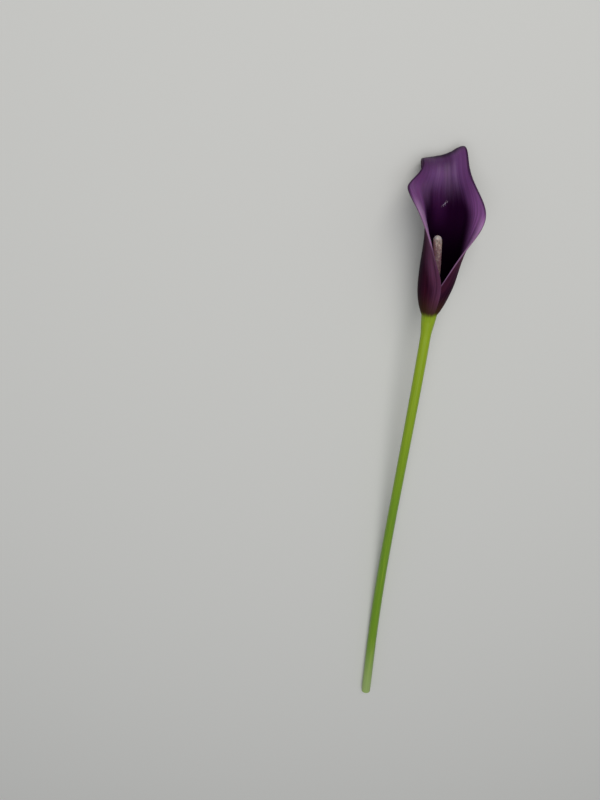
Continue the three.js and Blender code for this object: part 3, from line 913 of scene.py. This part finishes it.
def stem_material():
    """down is the distance from the shoulder, reach the share of the way from the axis to the
    skin, and cut is 1 on the cut face."""
    r = Recipe("stem_skin", Specular_IOR_Level=STEM_GLOSS, Subsurface_Weight=0.06,
               Subsurface_Radius=(0.8, 1.0, 0.25), Subsurface_Scale=0.8 * MM)
    down, reach, cut = (r.fact(name) for name in ("down", "reach", "cut"))
    streaks = r.noise(r.skin(1.1, 1.1, 0.03), detail=4.0, roughness=0.6)
    fine_streaks = r.noise(r.skin(4, 4, 0.05), detail=2.0)
    grain = r.noise(r.skin(5, 5, 3), detail=2.0)

    # the cut face: pale spongy pith with darker strands, and a green line under the skin
    strands = r.rise(r.spots(r.skin(1, 1, 0), 1.25), 0.32, 0.12, 0.0, 0.6)
    pith = r.blend(r.rise(grain, 0.3, 0.7), paint("pith"), paint("pith's grain"))
    pith = r.blend(strands, pith, paint("pith's strands"))
    pith = r.blend(r.rise(reach, 0.82, 0.96), pith, paint("line under the skin"))
    colour = r.blend(cut, stem_colour(r, down, streaks, fine_streaks), pith)

    rough = r.rise(fine_streaks, 0.2, 0.8, 0.34, 0.46)
    height = r.plus(r.times(streaks, 0.6), r.times(fine_streaks, 0.3), r.times(grain, 0.1))
    height = r.times(r.plus(height, r.times(cut, strands)), r.rise(down, 3.5, 12.0))
    return r.finish(colour, rough, r.bump(height, 0.08))


# ---- the spadix ----

def floret_relief(around, along, count, pitch, seed):
    """Rounded studs in staggered rings. Gives, at each place round and along the spadix, the
    height of its stud from 0 to 1, a number of the stud's own, and how far from its middle the
    place is, in studs."""
    rng = np.random.default_rng(seed)
    rings = int(np.ceil(along.max() / pitch)) + 3
    own = rng.random((rings, count))
    best = np.full(around.shape, np.inf)
    number = np.zeros(around.shape)
    for step in (-1, 0, 1):
        level = np.clip(np.floor(along / pitch).astype(int) + step, 0, rings - 1)
        turn = around * count - 0.5 * (level % 2)
        nearest = np.round(turn).astype(int)
        sideways = (turn - nearest) * STUD_FLATTENING
        lengthways = along / pitch - (level + 0.5)
        apart = np.hypot(sideways, lengthways)
        closer = apart < best
        best = np.where(closer, apart, best)
        number = np.where(closer, own[level, nearest % count], number)
    height = np.sqrt(np.clip(1 - (best / STUD_RADIUS) ** 2, 0, 1))
    return height, number, best


def spadix_loops():
    """Loops from the foot to the dome, raised into florets: ovaries low down, anthers above."""
    foot, tip = np.array(SPADIX_FOOT), np.array(SPADIX_TIP)
    length = tip[1] - foot[1]
    straight = length - SPADIX_DOME
    rows = round(straight / FLORET_PITCH) * STEPS_PER_PITCH
    over = np.linspace(0, 1, DOME_STEPS + 1)[1:] * math.radians(DOME_TURN)
    body_along = np.linspace(0, straight, rows + 1)
    along = np.concatenate([body_along, straight + SPADIX_DOME * np.sin(over)])
    narrowing = np.concatenate([np.ones(rows + 1), np.cos(over)])
    # distance over the skin, so that the studs keep their size over the dome
    surface = np.concatenate([body_along, straight + over * (SPADIX_DOME + SPADIX_RADIUS) / 2])

    sides = FLORETS_ROUND * STEPS_PER_FLORET
    around = np.arange(sides) / sides + 0 * surface[:, None]
    surface = surface[:, None] + 0 * around
    anther, anther_number, apart = floret_relief(
        around, surface, FLORETS_ROUND, FLORET_PITCH, seed=3)
    ovary, ovary_number, middle = floret_relief(
        around, surface, OVARIES_ROUND, OVARY_PITCH, seed=5)
    # each anther has a groove across its top, and each ovary a knob
    groove = np.exp(-((around * FLORETS_ROUND * 2 % 1 - 0.5) / GROOVE_WIDTH) ** 2)
    anther = anther * mix(LOWEST_ANTHER, 1, anther_number)
    anther = anther - GROOVE_DEPTH * groove * (apart < GROOVE_REACH)
    ovary = mix(ovary, middle < KNOB_REACH, KNOB_SHARE)
    upper = ease(along, OVARY_ZONE - OVARY_ZONE_BLUR, OVARY_ZONE + OVARY_ZONE_BLUR)[:, None]
    height = np.clip(mix(ovary, anther, upper), 0, 1)
    number = mix(ovary_number, anther_number, upper)

    body = mix(SPADIX_FOOT_RADIUS, SPADIX_RADIUS, ease(along, 0, SPADIX_SWELL))
    relief = mix(OVARY_RELIEF, ANTHER_RELIEF, upper)
    radius = (body[:, None] + relief * (height - STUD_SINK)) * narrowing[:, None]
    share = (along / length)[:, None]
    centre = foot + (tip - foot) * share
    centre[:, 0] += SPADIX_BOW * np.sin(np.pi * along / length)
    loops = ring(centre[:, 0], foot[1] + along, centre[:, 2], radius, sides)
    # over the dome the florets stand up from it too
    steepness = np.sin(np.arccos(np.clip(narrowing, 0, 1)))[:, None]
    loops[..., 1] += DOME_RELIEF_SHARE * relief * height * steepness
    left = np.cos(2 * np.pi * around)
    facts = {"height": height, "number": number, "up": share + 0 * height, "left": left}
    facts["skin"] = loops - foot
    return loops, facts


def spadix_material():
    """height is 1 on top of a floret and 0 between two, number is the floret's own, up is the
    share of the way to the tip, and left is 1 on the side towards the lapping flap."""
    r = Recipe("spadix_florets", Specular_IOR_Level=0.3, Subsurface_Weight=0.15,
               Subsurface_Scale=0.5 * MM)
    height, number, up, left = (r.fact(name) for name in ("height", "number", "up", "left"))
    patches = r.noise(r.skin(0.35, 0.2, 0.35), detail=3.0, roughness=0.6)
    mottle = r.noise(r.skin(0.8, 0.65, 0.8), detail=2.0)
    grain = r.noise(r.skin(9, 9, 9), detail=2.0)
    mauve = r.times(r.rise(patches, 0.45, 0.62), r.rise(up, 1.0, 0.75), 0.7)
    # painted shade and purple reflection of the lapping flap on the florets' left side
    shaded = r.times(r.rise(left, 0.4, 0.85, 0.0, 0.75), r.rise(up, 0.98, 0.9))

    crest = r.blend(r.rise(number, 0.1, 0.9), paint("florets"), paint("pale florets"))
    crest = r.blend(r.rise(mottle, 0.5, 0.6, 0.0, 0.75), crest, paint("brown florets"))
    crest = r.blend(mauve, crest, paint("mauve florets"))
    # lower down the florets are browner and lie in painted shade of the purple flap
    crest = r.blend(r.rise(up, 0.95, 0.65, 0.0, 0.75), crest, paint("florets lower down, browner and in painted flap shade"))
    crest = r.blend(r.rise(number, 0.93, 0.97, 0.0, 0.6), crest, paint("spent florets"))
    crest = r.blend(shaded, crest, paint("painted flap shade on the left florets"))
    # painted light on the dome at the top
    crest = r.blend(r.rise(up, 0.93, 0.98, 0.0, 0.6), crest, paint("dome"))
    crest = r.blend(r.rise(up, 0.26, 0.18), crest, paint("ovaries"))
    # painted shade in the gaps where florets meet
    colour = r.blend(r.rise(height, 0.6, 0.15), crest, paint("painted shade in the florets' gaps"))
    rough = r.rise(grain, 0.2, 0.8, 0.6, 0.8)
    return r.finish(colour, rough, r.bump(grain, 0.05))


# ---- the floor, the light and the camera ----

def floor():
    """A plain pale floor, a hair below the flower so that no two faces fall together."""
    half = 2.5
    drop = 0.02 * MM
    mesh = bpy.data.meshes.new("floor")
    corners = [(-half, -half), (half, -half), (half, half), (-half, half)]
    mesh.from_pydata([(x, y, -drop) for x, y in corners], [], [(0, 1, 2, 3)])
    r = Recipe("floor_paint", Base_Color=paint("floor"), Roughness=0.7, Specular_IOR_Level=0.2)
    mesh.materials.append(r.material)
    made = bpy.data.objects.new("floor", mesh)
    bpy.context.scene.collection.objects.link(made)


def lamp(name, place, aim, size, power, colour):
    """A square soft box, in metres and watts, that faces aim."""
    light = bpy.data.lights.new(name, "AREA")
    light.shape = "SQUARE"
    light.size = size
    light.energy = power
    light.color = paint(colour)[:3]
    made = bpy.data.objects.new(name, light)
    made.location = place
    made.rotation_mode = "QUATERNION"
    made.rotation_quaternion = (Vector(aim) - Vector(place)).to_track_quat("-Z", "Y")
    bpy.context.scene.collection.objects.link(made)


def studio():
    low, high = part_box("spathe")
    bloom = Vector(low + high) / 2
    lamp("key", (0.1, 0.85, 1.05), bloom, size=0.8, power=6.6, colour="key light")
    lamp("top", (-0.1, 0.0, 1.3), bloom, size=1.0, power=6.5, colour="top light")
    world = bpy.data.worlds.new("studio")
    world.use_nodes = True
    background = world.node_tree.nodes["Background"]
    background.inputs["Color"].default_value = paint("surroundings")
    background.inputs["Strength"].default_value = 0.27
    bpy.context.scene.world = world
    bpy.context.scene.view_settings.view_transform = "Standard"


def camera():
    lens = bpy.data.cameras.new("camera")
    lens.lens = lens.sensor_width * LENS_TO_FRAME
    lens.clip_start, lens.clip_end = 0.01, 20
    made = bpy.data.objects.new("camera", lens)
    made.location = (np.array(CAMERA_PLACE) + SHIFT) * MM
    made.rotation_euler = (math.radians(-CAMERA_PITCH), 0, 0)
    bpy.context.scene.collection.objects.link(made)
    bpy.context.scene.camera = made


piece("stem_stalk", *stem_loops(), stem_material(), "stem", "stem_skin")
piece("spathe_blade", *spathe_loops(), spathe_material(), "spathe", "spathe_skin")
piece("spadix_finger", *spadix_loops(), spadix_material(), "spadix", "spadix_florets")
floor()
studio()
camera()
